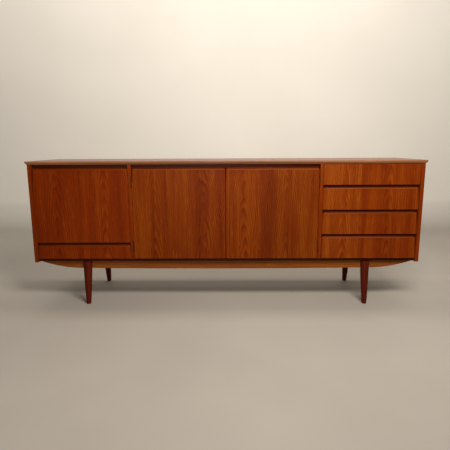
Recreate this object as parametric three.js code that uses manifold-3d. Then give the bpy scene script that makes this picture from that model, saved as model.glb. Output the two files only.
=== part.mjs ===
// Long low sideboard in teak: drop-down bar flap over a shallow drawer at the left,
// a pair of doors in the middle, four drawers at the right, on a base of turned legs
// and boat-shaped aprons. Millimetres, +Z up, front towards -Y, origin on the floor
// under the middle of the top.

import * as THREE from 'three';
import { mergeVertices } from 'three/addons/utils/BufferGeometryUtils.js';
import Module from 'manifold-3d';

const wasm = await Module();
wasm.setup();

// ---------------------------------------------------------------- driving dimensions

const WIDTH = 2100;
const DEPTH = 450;
const HEIGHT = 785;

const FIT = 0.3; // air between two fixed pieces that meet
const FRONT_GAP = 1.5; // shadow gap beside every flap, door and drawer front

const TOP_THICK = 18;
const TOP_BEVEL_HEIGHT = 10;
const TOP_OVERHANG = 8; // the bevel under the top runs in by this much

const SIDE_THICK = 20;
const PANEL_THICK = 18;
const BACK_THICK = 6;
const BACK_INSET = 4;
const CASE_BOTTOM = 240; // height of the case's underside above the floor
const BOTTOM_SETBACK = 24; // the bottom panel stands back behind the fronts
const DIVIDER_X = 505; // centre line of each upright divider

const FRONT_THICK = 18;
const FINGER_BEVEL = 8;
const FRONTS_LOW = 260;
const FLAP_LOW = 349;
const FINGER_GAP_TALL = 20; // above the flap and the doors
const PIVOT_INSET = 9;
const DRAWER_CORNER = 16; // radius of the corners beside a drawer's finger gap
const SMALL_CORNER = 7; // radius of the corners beside the gaps of flap and doors
const CORNER_STEPS = 6;
const BAR_FLOOR_SETBACK = 4.5; // behind the closed flap

const SHELF_THICK = 16;
const SHELF_LOW = 498;
const SHELF_SETBACK = 32;

const APRON_SETBACK = 36;
const APRON_THICK = 22;
const APRON_HALF_LENGTH = 1016;
const APRON_STRAIGHT_HALF = 800; // beyond this the lower edge sweeps up
const APRON_DEPTH_MIDDLE = 47;
const APRON_DEPTH_STRAIGHT_END = 42;
const APRON_TIP = 4;

const LEG_X = 765;
const LEG_FOOT_Y = 205;
const LEG_TOP_Y = 178;
const LEG_FOOT_RADIUS = 12.5;
const LEG_TOP_RADIUS = 24.5;
const LEG_SWELL = 1.2; // how far the taper bulges at half height
const LEG_SHOULDER_RISE = 4; // shoulder of the notch above the apron's lower edge

const CROSS_RAIL_X = 715;
const CROSS_RAIL_THICK = 22;
const CROSS_RAIL_LOW = 204;

// -------------------------------------------------------------------- derived places

const TOP_UNDERSIDE = HEIGHT - TOP_THICK;
const PANEL_TOP = TOP_UNDERSIDE - FIT;
const FRONT_Y = -DEPTH / 2 + TOP_OVERHANG;
const FRONT_BACK_Y = FRONT_Y + FRONT_THICK;
const BACK_EDGE_Y = DEPTH / 2;
const BACK_PANEL_Y = BACK_EDGE_Y - BACK_INSET - BACK_THICK;
const SIDE_OUTER_X = WIDTH / 2 - TOP_OVERHANG;
const SIDE_INNER_X = SIDE_OUTER_X - SIDE_THICK;
const BOTTOM_TOP = CASE_BOTTOM + PANEL_THICK;
const OUTER_BAY_X = (SIDE_INNER_X + DIVIDER_X + PANEL_THICK / 2) / 2;
const OUTER_BAY_WIDTH = SIDE_INNER_X - DIVIDER_X - PANEL_THICK / 2;
const CENTRE_BAY_HALF = DIVIDER_X - PANEL_THICK / 2;
const FRONTS_HIGH = TOP_UNDERSIDE - FINGER_GAP_TALL;

// -------------------------------------------------------------------------- finishes

const TEAK = { color: 0x8a3c10, roughness: 0.45, metalness: 0 };
const SOLID_TEAK = { color: 0x9a4a18, roughness: 0.45, metalness: 0 };
const DRAWER_WOOD = { color: 0xc79a62, roughness: 0.6, metalness: 0 };
const PLYWOOD = { color: 0xb98d5c, roughness: 0.7, metalness: 0 };
const BRASS = { color: 0xb08a4a, roughness: 0.35, metalness: 1 };

function piece(name, geometry, finish) {
  const mesh = new THREE.Mesh(geometry, new THREE.MeshStandardMaterial(finish));
  mesh.name = name;
  return mesh;
}

// ------------------------------------------------------------------- shape functions

/** A box between two corners, each given as [x, y, z]. */
function boxBetween(low, high) {
  const size = high.map((value, axis) => value - low[axis]);
  const middle = high.map((value, axis) => (value + low[axis]) / 2);
  const geometry = new THREE.BoxGeometry(...size);
  geometry.translate(...middle);
  return geometry;
}

/** A box that is a mesh of its own, placed by the middle of its volume. */
function board(name, low, high, finish) {
  const size = high.map((value, axis) => value - low[axis]);
  const mesh = piece(name, new THREE.BoxGeometry(...size), finish);
  mesh.position.set(...high.map((value, axis) => (value + low[axis]) / 2));
  return mesh;
}

/** A round bar along X between two x values, centred on the given y and z. */
function barAlongX(x0, x1, y, z, radius, sides = 24) {
  const geometry = new THREE.CylinderGeometry(radius, radius, x1 - x0, sides);
  geometry.rotateZ(Math.PI / 2);
  geometry.translate((x0 + x1) / 2, y, z);
  return geometry;
}

/** A round bar along Z between two heights, on the Z axis. */
function barAlongZ(z0, z1, radius, sides = 20) {
  const geometry = new THREE.CylinderGeometry(radius, radius, z1 - z0, sides);
  geometry.rotateX(Math.PI / 2);
  geometry.translate(0, 0, (z0 + z1) / 2);
  return geometry;
}

function shapeOf(points) {
  return new THREE.Shape(points.map(([a, b]) => new THREE.Vector2(a, b)));
}

/** An outline in Y and Z, drawn out along X and centred on x = 0. */
function drawnAlongX(shape, length, curveSegments = 12) {
  const geometry = new THREE.ExtrudeGeometry(shape, { depth: length, bevelEnabled: false, curveSegments });
  geometry.translate(0, 0, -length / 2);
  const toWorld = new THREE.Matrix4().makeBasis(
    new THREE.Vector3(0, 1, 0),
    new THREE.Vector3(0, 0, 1),
    new THREE.Vector3(1, 0, 0),
  );
  return geometry.applyMatrix4(toWorld);
}

/** An outline in X and Z, drawn out along Y and centred on y = 0. */
function drawnAlongY(shape, length, curveSegments = 12) {
  const geometry = new THREE.ExtrudeGeometry(shape, { depth: length, bevelEnabled: false, curveSegments });
  geometry.rotateX(Math.PI / 2);
  geometry.translate(0, length / 2, 0);
  return geometry;
}

function toSolid(geometry) {
  const bare = geometry.clone();
  bare.deleteAttribute('normal');
  bare.deleteAttribute('uv');
  const merged = mergeVertices(bare);
  return new wasm.Manifold(new wasm.Mesh({
    numProp: 3,
    vertProperties: new Float32Array(merged.attributes.position.array),
    triVerts: new Uint32Array(merged.index.array),
  }));
}

function toGeometry(solid) {
  const mesh = solid.getMesh();
  const geometry = new THREE.BufferGeometry();
  geometry.setAttribute('position', new THREE.BufferAttribute(new Float32Array(mesh.vertProperties), 3));
  geometry.setIndex(new THREE.BufferAttribute(new Uint32Array(mesh.triVerts), 1));
  geometry.computeVertexNormals();
  return geometry;
}

function joined(...geometries) {
  return toGeometry(geometries.map(toSolid).reduce((sum, next) => sum.add(next)));
}

function cutFrom(geometry, ...cutters) {
  return toGeometry(cutters.map(toSolid).reduce((rest, next) => rest.subtract(next), toSolid(geometry)));
}

// ------------------------------------------------------------------------- hardware

// Butt hinge: two leaves let into door and divider, the barrel just proud of the front.
const HINGE_HALF_HEIGHT = 30;
const KNUCKLE_HALF = 10;
const BARREL_RADIUS = 2.75;
const HINGE_PIN_RADIUS = 1.3;
const LEAF_NEAR = 0.25;
const LEAF_FAR = 1.75;
const LEAF_DEPTH = 18;
const LEAF_CLEAR_OF_BARREL = 3.2;
const HINGE_AXIS_X = CENTRE_BAY_HALF - FRONT_GAP / 2;
const HINGE_AXIS_Y = FRONT_Y - BARREL_RADIUS - FIT;
const HINGE_FROM_EDGE = 70;
const HINGE_HEIGHTS = [FRONTS_LOW + HINGE_FROM_EDGE, FRONTS_HIGH - HINGE_FROM_EDGE];

/** A plate beside the hinge axis; side is -1 or +1 in x. */
function leafPlate(side, y0, y1, z0, z1, margin = 0) {
  const near = side * LEAF_NEAR;
  const far = side * (LEAF_FAR + margin);
  return boxBetween([Math.min(near, far), y0, z0], [Math.max(near, far), y1, z1]);
}

/** Fixed leaf: upper and lower knuckles and the pin, leaf on the given side. */
function fixedLeaf(side) {
  const parts = [
    leafPlate(side, LEAF_CLEAR_OF_BARREL, LEAF_DEPTH, -HINGE_HALF_HEIGHT, HINGE_HALF_HEIGHT),
    barAlongZ(-HINGE_HALF_HEIGHT, HINGE_HALF_HEIGHT, HINGE_PIN_RADIUS, 12),
  ];
  for (const end of [-1, 1]) {
    const z0 = end < 0 ? -HINGE_HALF_HEIGHT : KNUCKLE_HALF + FIT;
    const z1 = end < 0 ? -KNUCKLE_HALF - FIT : HINGE_HALF_HEIGHT;
    parts.push(barAlongZ(z0, z1, BARREL_RADIUS));
    parts.push(leafPlate(side, 0, LEAF_DEPTH, z0, z1));
  }
  return joined(...parts);
}

/** Moving leaf: the middle knuckle, bored for the pin, leaf on the given side. */
function movingLeaf(side) {
  const body = joined(
    leafPlate(side, LEAF_CLEAR_OF_BARREL, LEAF_DEPTH, -HINGE_HALF_HEIGHT, HINGE_HALF_HEIGHT),
    leafPlate(side, 0, LEAF_DEPTH, -KNUCKLE_HALF, KNUCKLE_HALF),
    barAlongZ(-KNUCKLE_HALF, KNUCKLE_HALF, BARREL_RADIUS),
  );
  return cutFrom(body, barAlongZ(-KNUCKLE_HALF - 1, KNUCKLE_HALF + 1, HINGE_PIN_RADIUS + FIT, 12));
}

/** The pockets that the leaves on one side of the hinge line are let into. */
function leafMortises(doorSide, leafSide) {
  return HINGE_HEIGHTS.map((height) => {
    const pocket = leafPlate(
      leafSide,
      0,
      LEAF_DEPTH + FIT,
      -HINGE_HALF_HEIGHT - FIT,
      HINGE_HALF_HEIGHT + FIT,
      FIT,
    );
    pocket.translate(doorSide * HINGE_AXIS_X, HINGE_AXIS_Y, height);
    return pocket;
  });
}

// Flap pivots, and the slotted stay that slides on a stud in the side panel. Pin and stud
// are the same distance from the flap's axis, so the stay turns at half the flap's rate.
const PIVOT_RADIUS = 3;
const PIVOT_DEPTH = 12;
const FLAP_AXIS_Y = FRONT_Y + PIVOT_INSET;
const FLAP_AXIS_Z = FLAP_LOW + PIVOT_INSET;
const STAY_RADIUS = 195;
const STAY_PIN_BEHIND_FACE = 8;
const STAY_CLOSED_SPREAD = THREE.MathUtils.degToRad(30);
const STAY_WIDTH = 14;
const STAY_THICK = 2.5;
const STAY_PIN_RADIUS = 3;
const STAY_SLOT_RADIUS = 3.5;
const STAY_SLOT_START = 95;
const STAY_SLOT_END = 343;
const STAY_LENGTH = 352;
const STAY_FROM_PANEL = 6;
const STAY_X = -SIDE_INNER_X + STAY_FROM_PANEL; // face of the stay towards the side panel

const stayPinOut = FRONT_THICK - PIVOT_INSET + STAY_PIN_BEHIND_FACE;
const stayPinAngle = Math.acos(stayPinOut / STAY_RADIUS);
const studAngle = stayPinAngle - STAY_CLOSED_SPREAD;
const stayPinY = FLAP_AXIS_Y + STAY_RADIUS * Math.cos(stayPinAngle);
const stayPinZ = FLAP_AXIS_Z + STAY_RADIUS * Math.sin(stayPinAngle);
const studY = FLAP_AXIS_Y + STAY_RADIUS * Math.cos(studAngle);
const studZ = FLAP_AXIS_Z + STAY_RADIUS * Math.sin(studAngle);

function pivotHole(xFace, direction) {
  const deep = xFace + direction * (PIVOT_DEPTH + 2);
  const open = xFace - direction;
  return barAlongX(Math.min(deep, open), Math.max(deep, open), FLAP_AXIS_Y, FLAP_AXIS_Z, PIVOT_RADIUS + FIT);
}

function slottedBar() {
  const half = STAY_WIDTH / 2;
  const outline = new THREE.Shape();
  outline.absarc(0, 0, half, Math.PI / 2, 1.5 * Math.PI, false);
  outline.absarc(STAY_LENGTH, 0, half, -Math.PI / 2, Math.PI / 2, false);
  const slot = new THREE.Path();
  slot.absarc(STAY_SLOT_START, 0, STAY_SLOT_RADIUS, Math.PI / 2, 1.5 * Math.PI, false);
  slot.absarc(STAY_SLOT_END, 0, STAY_SLOT_RADIUS, -Math.PI / 2, Math.PI / 2, false);
  const pinHole = new THREE.Path();
  pinHole.absarc(0, 0, STAY_SLOT_RADIUS, 0, 2 * Math.PI, false);
  outline.holes.push(slot, pinHole);
  return drawnAlongX(outline, STAY_THICK, 8);
}

function stayArm() {
  const arm = piece('flap_stay_arm', slottedBar(), BRASS);
  arm.position.set(STAY_X + STAY_THICK / 2, stayPinY, stayPinZ);
  arm.rotation.x = Math.atan2(studZ - stayPinZ, studY - stayPinY);
  return arm;
}

/** Stud with a flange on the side panel and a head that keeps the stay on. */
function stayStud() {
  const flangeRadius = 8;
  const flangeThick = 3;
  const headRadius = 5.5;
  const headThick = 2.5;
  const headStart = 9.4;
  const profile = [
    [0, 0],
    [flangeRadius, 0],
    [flangeRadius, flangeThick],
    [STAY_PIN_RADIUS, flangeThick],
    [STAY_PIN_RADIUS, headStart],
    [headRadius, headStart],
    [headRadius, headStart + headThick],
    [0, headStart + headThick],
  ];
  const geometry = new THREE.LatheGeometry(profile.map(([r, h]) => new THREE.Vector2(r, h)), 24);
  geometry.rotateZ(-Math.PI / 2);
  const stud = piece('flap_stay_stud', geometry, BRASS);
  stud.position.set(-SIDE_INNER_X + FIT, studY, studZ);
  return stud;
}

/** Angle bracket on the flap's inner face, with the pin that the stay turns on. */
function stayBracket() {
  const lugAir = 0.6;
  const lugX = STAY_THICK + lugAir;
  const lugThick = 2;
  const footWidth = 28;
  const halfHeight = 20;
  const faceY = -STAY_PIN_BEHIND_FACE + FIT;
  const lugReach = 6;
  const pinHeadX = -2;
  const geometry = joined(
    boxBetween([lugX, faceY, -halfHeight], [lugX + footWidth, faceY + 2, halfHeight]),
    boxBetween([lugX, faceY, -lugReach], [lugX + lugThick, lugReach, lugReach]),
    barAlongX(pinHeadX, lugX + 1, 0, 0, STAY_PIN_RADIUS),
    barAlongX(pinHeadX - 1, pinHeadX + 1, 0, 0, STAY_PIN_RADIUS + 2),
  );
  const bracket = piece('flap_stay_bracket', geometry, BRASS);
  bracket.position.set(STAY_X, stayPinY, stayPinZ);
  return bracket;
}

function flapPivot(name, panelFaceX, direction) {
  const inPanel = panelFaceX - direction * PIVOT_DEPTH;
  const inFlap = panelFaceX + direction * (FRONT_GAP + PIVOT_DEPTH);
  const geometry = barAlongX(Math.min(inPanel, inFlap), Math.max(inPanel, inFlap), 0, 0, PIVOT_RADIUS);
  const pin = piece(name, geometry, BRASS);
  pin.position.set(0, FLAP_AXIS_Y, FLAP_AXIS_Z);
  return pin;
}

// ----------------------------------------------------------------------------- case

function caseTop() {
  const half = WIDTH / 2;
  const backHalf = DEPTH / 2;
  const lengthwise = shapeOf([
    [-backHalf + TOP_OVERHANG, 0],
    [backHalf, 0],
    [backHalf, TOP_THICK],
    [-backHalf, TOP_THICK],
    [-backHalf, TOP_BEVEL_HEIGHT],
  ]);
  const crosswise = shapeOf([
    [-half + TOP_OVERHANG, 0],
    [half - TOP_OVERHANG, 0],
    [half, TOP_BEVEL_HEIGHT],
    [half, TOP_THICK],
    [-half, TOP_THICK],
    [-half, TOP_BEVEL_HEIGHT],
  ]);
  const slab = toSolid(drawnAlongX(lengthwise, WIDTH)).intersect(toSolid(drawnAlongY(crosswise, DEPTH)));
  const top = piece('case_top', toGeometry(slab), TEAK);
  top.position.z = TOP_UNDERSIDE;
  return top;
}

function caseSides() {
  const left = boxBetween([-SIDE_OUTER_X, FRONT_Y, CASE_BOTTOM], [-SIDE_INNER_X, BACK_EDGE_Y, PANEL_TOP]);
  return [
    piece('case_side_left', cutFrom(left, pivotHole(-SIDE_INNER_X, -1)), TEAK),
    board(
      'case_side_right',
      [SIDE_INNER_X, FRONT_Y, CASE_BOTTOM],
      [SIDE_OUTER_X, BACK_EDGE_Y, PANEL_TOP],
      TEAK,
    ),
  ];
}

function dividers() {
  const half = PANEL_THICK / 2;
  return [-1, 1].map((side) => {
    const panel = boxBetween(
      [side * DIVIDER_X - half, FRONT_Y, BOTTOM_TOP + FIT],
      [side * DIVIDER_X + half, BACK_PANEL_Y - FIT, PANEL_TOP],
    );
    const cutters = leafMortises(side, side);
    if (side < 0) {
      cutters.push(pivotHole(-DIVIDER_X - half, 1));
    }
    return piece(side < 0 ? 'case_divider_left' : 'case_divider_right', cutFrom(panel, ...cutters), TEAK);
  });
}

function flatPanels() {
  const insideX = SIDE_INNER_X - FIT;
  const backRear = BACK_PANEL_Y + BACK_THICK;
  const leftBayOuter = -SIDE_INNER_X + FIT;
  const leftBayInner = -DIVIDER_X - PANEL_THICK / 2 - FIT;
  const shelfHalf = CENTRE_BAY_HALF - FIT;
  return [
    board(
      'case_bottom',
      [-insideX, FRONT_Y + BOTTOM_SETBACK, CASE_BOTTOM],
      [insideX, backRear, BOTTOM_TOP],
      TEAK,
    ),
    board('case_back', [-insideX, BACK_PANEL_Y, BOTTOM_TOP + FIT], [insideX, backRear, PANEL_TOP], PLYWOOD),
    board(
      'bar_floor',
      [leftBayOuter, FRONT_BACK_Y + BAR_FLOOR_SETBACK, FLAP_LOW],
      [leftBayInner, BACK_PANEL_Y - FIT, FLAP_LOW + PANEL_THICK],
      TEAK,
    ),
    board(
      'centre_shelf',
      [-shelfHalf, FRONT_BACK_Y + SHELF_SETBACK, SHELF_LOW],
      [shelfHalf, BACK_PANEL_Y - FIT, SHELF_LOW + SHELF_THICK],
      TEAK,
    ),
  ];
}

/** Small blocks on the bottom panel that the doors close against. */
function doorCatches() {
  const width = 40;
  const depth = 22;
  const height = 20;
  const behindDoor = 0.6;
  return [-1, 1].map((side) => {
    const catchBlock = board(
      side < 0 ? 'door_catch_left' : 'door_catch_right',
      [-width / 2, 0, 0],
      [width / 2, depth, height],
      BRASS,
    );
    catchBlock.position.x += side * width;
    catchBlock.position.y += FRONT_BACK_Y + behindDoor;
    catchBlock.position.z += BOTTOM_TOP + FIT;
    return catchBlock;
  });
}

// ----------------------------------------------------------------------------- base

/** Boat-shaped board on edge: nearly straight below, sweeping up to thin tips. */
function apronShape() {
  const top = CASE_BOTTOM - FIT;
  const straightEnd = CASE_BOTTOM - APRON_DEPTH_STRAIGHT_END;
  const bowControl = CASE_BOTTOM - 2 * APRON_DEPTH_MIDDLE + APRON_DEPTH_STRAIGHT_END;
  const slope = (straightEnd - bowControl) / APRON_STRAIGHT_HALF;
  const sweepControlX = (APRON_STRAIGHT_HALF + APRON_HALF_LENGTH) / 2;
  const sweepControlZ = straightEnd + slope * (sweepControlX - APRON_STRAIGHT_HALF);
  const shape = new THREE.Shape();
  shape.moveTo(-APRON_HALF_LENGTH, top);
  shape.lineTo(-APRON_HALF_LENGTH, top - APRON_TIP);
  shape.quadraticCurveTo(-sweepControlX, sweepControlZ, -APRON_STRAIGHT_HALF, straightEnd);
  shape.quadraticCurveTo(0, bowControl, APRON_STRAIGHT_HALF, straightEnd);
  shape.quadraticCurveTo(sweepControlX, sweepControlZ, APRON_HALF_LENGTH, top - APRON_TIP);
  shape.lineTo(APRON_HALF_LENGTH, top);
  shape.closePath();
  return shape;
}

const APRON_MIDDLE_Y = FRONT_Y + APRON_SETBACK + APRON_THICK / 2;

function aprons() {
  return [-1, 1].map((side) => {
    const name = side < 0 ? 'apron_front' : 'apron_rear';
    const apron = piece(name, drawnAlongY(apronShape(), APRON_THICK), SOLID_TEAK);
    apron.position.y = -side * APRON_MIDDLE_Y;
    return apron;
  });
}

/** Turned tapered leg, raked outwards, cut level at floor and case, notched for the apron. */
function leg(name, sideX, sideY) {
  const rise = CASE_BOTTOM;
  const run = LEG_FOOT_Y - LEG_TOP_Y;
  const spare = 10;
  const length = Math.hypot(rise, run);
  const steps = 8;
  const profile = [new THREE.Vector2(0, -spare)];
  for (let i = 0; i <= steps; i += 1) {
    const along = i / steps;
    const radius = THREE.MathUtils.lerp(LEG_FOOT_RADIUS, LEG_TOP_RADIUS, along)
      + LEG_SWELL * Math.sin(Math.PI * along);
    profile.push(new THREE.Vector2(radius, THREE.MathUtils.lerp(-spare, length + spare, along)));
  }
  profile.push(new THREE.Vector2(0, length + spare));
  const turned = new THREE.LatheGeometry(profile, 28);
  turned.rotateX(Math.PI / 2 + sideY * Math.atan2(run, rise));
  turned.translate(0, sideY * LEG_FOOT_Y, 0);
  const reach = 60;
  const level = boxBetween(
    [-reach, sideY * LEG_FOOT_Y - reach, 0],
    [reach, sideY * LEG_FOOT_Y + reach, CASE_BOTTOM - FIT],
  );
  const shoulder = CASE_BOTTOM - APRON_DEPTH_MIDDLE + LEG_SHOULDER_RISE;
  const apronFace = -sideY * (APRON_MIDDLE_Y - APRON_THICK / 2 - FIT);
  const notch = boxBetween(
    [-reach, Math.min(apronFace, apronFace - sideY * reach), shoulder],
    [reach, Math.max(apronFace, apronFace - sideY * reach), CASE_BOTTOM + 1],
  );
  const trimmed = toSolid(turned).intersect(toSolid(level)).subtract(toSolid(notch));
  const mesh = piece(name, toGeometry(trimmed), SOLID_TEAK);
  mesh.position.x = sideX * LEG_X;
  return mesh;
}

function legs() {
  return [
    leg('leg_front_left', -1, -1),
    leg('leg_front_right', 1, -1),
    leg('leg_rear_left', -1, 1),
    leg('leg_rear_right', 1, 1),
  ];
}

function crossRails() {
  const reach = -APRON_MIDDLE_Y - APRON_THICK / 2 - FIT;
  const half = CROSS_RAIL_THICK / 2;
  return [-1, 1].map((side) => board(
    side < 0 ? 'cross_rail_left' : 'cross_rail_right',
    [side * CROSS_RAIL_X - half, -reach, CROSS_RAIL_LOW],
    [side * CROSS_RAIL_X + half, reach, CASE_BOTTOM - FIT],
    SOLID_TEAK,
  ));
}

// --------------------------------------------------------------------------- fronts

/** Points of a quarter circle in X and Z, or its corner point where the radius is 0. */
function quarter(x, z, radius, start) {
  const steps = radius > 0 ? CORNER_STEPS : 0;
  return Array.from({ length: steps + 1 }, (_, i) => {
    const angle = start + (i / Math.max(steps, 1)) * (Math.PI / 2);
    return [x + radius * Math.cos(angle), z + radius * Math.sin(angle)];
  });
}

/** Outline of a front seen from the front, with its upper and lower corners rounded. */
function faceOutline(width, height, top, low) {
  const half = width / 2;
  return shapeOf([
    ...quarter(half - low, low, low, 1.5 * Math.PI),
    ...quarter(half - top, height - top, top, 0),
    ...quarter(top - half, height - top, top, 0.5 * Math.PI),
    ...quarter(low - half, low, low, Math.PI),
  ]);
}

/** A front board of the given size, its upper front arris bevelled for the fingers. */
function frontBoard(width, height, { bevel = FINGER_BEVEL, topCorners = 0, lowCorners = 0 } = {}) {
  const outline = [
    [0, 0],
    [FRONT_THICK, 0],
    [FRONT_THICK, height],
    [bevel, height],
  ];
  if (bevel > 0) {
    outline.push([0, height - bevel]);
  }
  const slab = drawnAlongX(shapeOf(outline), width);
  if (topCorners + lowCorners === 0) {
    return slab;
  }
  const face = drawnAlongY(faceOutline(width, height, topCorners, lowCorners), FRONT_THICK + 2);
  face.translate(0, FRONT_THICK / 2, 0);
  return toGeometry(toSolid(slab).intersect(toSolid(face)));
}

function flap() {
  const width = OUTER_BAY_WIDTH - 2 * FRONT_GAP;
  const corners = { topCorners: SMALL_CORNER, lowCorners: SMALL_CORNER };
  const slab = frontBoard(width, FRONTS_HIGH - FLAP_LOW, corners);
  slab.translate(-OUTER_BAY_X, FRONT_Y, FLAP_LOW);
  const outer = -OUTER_BAY_X - width / 2;
  const inner = -OUTER_BAY_X + width / 2;
  return piece('flap_panel', cutFrom(slab, pivotHole(outer, 1), pivotHole(inner, -1)), TEAK);
}

function doorWithHinges(side) {
  const label = side < 0 ? 'left' : 'right';
  const meetingGap = 1;
  const hingeEdge = CENTRE_BAY_HALF - FRONT_GAP;
  const slab = frontBoard(hingeEdge - meetingGap, FRONTS_HIGH - FRONTS_LOW, { topCorners: SMALL_CORNER });
  slab.translate((side * (hingeEdge + meetingGap)) / 2, FRONT_Y, FRONTS_LOW);
  const meshes = [piece(`door_${label}_panel`, cutFrom(slab, ...leafMortises(side, -side)), TEAK)];
  HINGE_HEIGHTS.forEach((height, index) => {
    const level = index === 0 ? 'lower' : 'upper';
    const fixed = piece(`hinge_${label}_${level}_fixed`, fixedLeaf(side), BRASS);
    const moving = piece(`hinge_${label}_${level}_moving`, movingLeaf(-side), BRASS);
    for (const leaf of [fixed, moving]) {
      leaf.position.set(side * HINGE_AXIS_X, HINGE_AXIS_Y, height);
      meshes.push(leaf);
    }
  });
  return meshes;
}

// -------------------------------------------------------------------------- drawers

const DRAWER_SIDE_GAP = 6;
const DRAWER_WALL = 12;
const DRAWER_BOX_LIFT = 8; // box's underside above the front's lower edge
const DRAWER_BACK_Y = 180;
const RUNNER_HEIGHT = 10;
const RUNNER_IN_GROOVE = 4.5;
const RUNNER_FRONT_Y = FRONT_BACK_Y + 9;
const RUNNER_BACK_Y = 200;
const GROOVE_DEPTH = 5;
const GROOVE_HEIGHT = 11;
const BOTTOM_PLY = 4;
const BOTTOM_PLY_LIFT = 6;
const BOTTOM_PLY_HOUSING = 4;

/** Two sides and a back in one U, grooved outside for the runners, inside for the bottom. */
function drawerBox(height) {
  const half = OUTER_BAY_WIDTH / 2 - DRAWER_SIDE_GAP;
  const inside = half - DRAWER_WALL;
  const low = DRAWER_BOX_LIFT;
  const frontEnd = FRONT_BACK_Y + FIT;
  const grooveLow = low + height / 2 - GROOVE_HEIGHT / 2;
  const plyLow = low + BOTTOM_PLY_LIFT - FIT;
  const plyHigh = low + BOTTOM_PLY_LIFT + BOTTOM_PLY + FIT;
  const housed = inside + BOTTOM_PLY_HOUSING;
  const backFace = DRAWER_BACK_Y - DRAWER_WALL;
  const cutters = [
    boxBetween([-inside, frontEnd - 1, low - 1], [inside, backFace, low + height + 1]),
    boxBetween([-housed, frontEnd - 1, plyLow], [housed, backFace + BOTTOM_PLY_HOUSING, plyHigh]),
  ];
  for (const side of [-1, 1]) {
    const edge = side * (half + 1);
    const floor = side * (half - GROOVE_DEPTH);
    cutters.push(boxBetween(
      [Math.min(edge, floor), RUNNER_FRONT_Y - 1, grooveLow],
      [Math.max(edge, floor), DRAWER_BACK_Y + 1, grooveLow + GROOVE_HEIGHT],
    ));
  }
  return cutFrom(boxBetween([-half, frontEnd, low], [half, DRAWER_BACK_Y, low + height]), ...cutters);
}

function drawer({ name, bayX, low, high, boxHeight, bevel = FINGER_BEVEL }) {
  const group = new THREE.Group();
  group.position.set(bayX, 0, low);
  const topCorners = bevel > 0 ? DRAWER_CORNER : 0;
  const front = frontBoard(OUTER_BAY_WIDTH - 2 * FRONT_GAP, high - low, { bevel, topCorners });
  front.translate(0, FRONT_Y, 0);
  group.add(piece(`${name}_front`, front, TEAK));
  group.add(piece(`${name}_box`, drawerBox(boxHeight), DRAWER_WOOD));
  const half = OUTER_BAY_WIDTH / 2;
  const plyHalf = half - DRAWER_SIDE_GAP - DRAWER_WALL + BOTTOM_PLY_HOUSING - 2 * FIT;
  const plyLow = DRAWER_BOX_LIFT + BOTTOM_PLY_LIFT;
  group.add(board(
    `${name}_bottom`,
    [-plyHalf, FRONT_BACK_Y + FIT, plyLow],
    [plyHalf, DRAWER_BACK_Y - DRAWER_WALL + BOTTOM_PLY_HOUSING - 2 * FIT, plyLow + BOTTOM_PLY],
    PLYWOOD,
  ));
  const runnerLow = DRAWER_BOX_LIFT + boxHeight / 2 - RUNNER_HEIGHT / 2;
  for (const side of [-1, 1]) {
    const atPanel = side * (half - FIT);
    const inGroove = side * (half - DRAWER_SIDE_GAP - RUNNER_IN_GROOVE);
    group.add(board(
      `${name}_runner_${side < 0 ? 'left' : 'right'}`,
      [Math.min(atPanel, inGroove), RUNNER_FRONT_Y, runnerLow],
      [Math.max(atPanel, inGroove), RUNNER_BACK_Y, runnerLow + RUNNER_HEIGHT],
      DRAWER_WOOD,
    ));
  }
  return group;
}

const DRAWERS = [
  { name: 'drawer_1', bayX: OUTER_BAY_X, low: 657, high: 765, boxHeight: 84, bevel: 0 },
  { name: 'drawer_2', bayX: OUTER_BAY_X, low: 525, high: 645, boxHeight: 90 },
  { name: 'drawer_3', bayX: OUTER_BAY_X, low: 393, high: 513, boxHeight: 90 },
  { name: 'drawer_4', bayX: OUTER_BAY_X, low: FRONTS_LOW, high: 381, boxHeight: 90 },
  { name: 'bar_drawer', bayX: -OUTER_BAY_X, low: FRONTS_LOW, high: 337, boxHeight: 50 },
];

// ------------------------------------------------------------------------- assembly

const sideboard = new THREE.Group();
sideboard.add(caseTop(), ...caseSides(), ...dividers(), ...flatPanels(), ...doorCatches());
sideboard.add(...aprons(), ...crossRails(), ...legs());
sideboard.add(
  flap(),
  flapPivot('flap_pivot_left', -SIDE_INNER_X, 1),
  flapPivot('flap_pivot_right', -DIVIDER_X - PANEL_THICK / 2, -1),
  stayArm(),
  stayStud(),
  stayBracket(),
);
sideboard.add(...doorWithHinges(-1), ...doorWithHinges(1));
sideboard.add(...DRAWERS.map(drawer));

export default sideboard;
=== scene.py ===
# %% [markdown]
# # A long, low teak sideboard
# The cabinet's structure and everything that moves are already packed as a frame of plain
# boards. This lesson puts the looks around that frame: the turned legs, the fronts with
# their eased finger edges, the veneer and its lippings, the small brass, the light and the
# camera. Every new piece takes its place from the frame, so nothing has to be fitted.

# %% Load the frame
import math

import bmesh
import bpy
from mathutils import Matrix, Vector


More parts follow.
